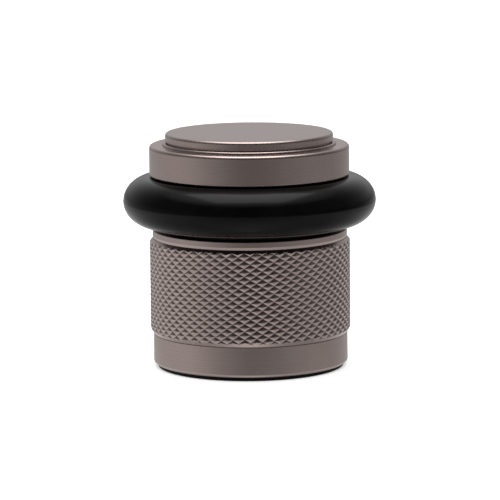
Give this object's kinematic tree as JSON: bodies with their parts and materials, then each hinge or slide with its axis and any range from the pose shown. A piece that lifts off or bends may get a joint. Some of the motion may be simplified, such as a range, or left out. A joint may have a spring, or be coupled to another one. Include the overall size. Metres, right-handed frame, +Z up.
{
  "type": "floor door stop",
  "caption": "Round floor-mounted door stop: a knurled post with plain bands, a fat rubber buffer ring under a turned head, and a push-fit cap over the fixing bolt.",
  "frame": {"origin": "centre of the underside of the foot pad, on the floor", "axes": "+Z up along the post's axis; the part is round, so +X and +Y are free"},
  "size_m": [0.0504, 0.0504, 0.0468],
  "materials": {
    "satin_metal": "fine turned satin, warm grey plating",
    "knurled_metal": "diamond knurl, warm grey plating",
    "cap_metal": "bead-blasted satin, warm grey plating",
    "plated_steel": "bright zinc plating",
    "black_steel": "black oxide",
    "buffer_rubber": "smooth moulded black rubber",
    "foot_rubber": "matt black rubber"
  },
  "bodies": {
    "stop": {"base_pad": "foot_rubber", "base_collar": "satin_metal", "core_post": "plated_steel", "locating_pins": "plated_steel", "knurled_sleeve": "knurled_metal", "neck_collar": "satin_metal", "head_collar": "satin_metal", "flat_washer": "plated_steel", "spring_washer": "plated_steel", "tie_bolt": "black_steel"},
    "buffer": {"buffer_ring": "buffer_rubber"},
    "cap": {"cap": "cap_metal", "cap_o_ring": "foot_rubber"}
  },
  "joints": [
    {"name": "buffer_turn", "type": "hinge", "parent": "stop", "child": "buffer", "pos_m": [0, 0, 0.03333], "axis": [0, 0, 1], "continuous": true},
    {"name": "cap_lift", "type": "slide", "parent": "stop", "child": "cap", "axis": [0, 0, 1], "range_m": [0, 0.012]}
  ]
}
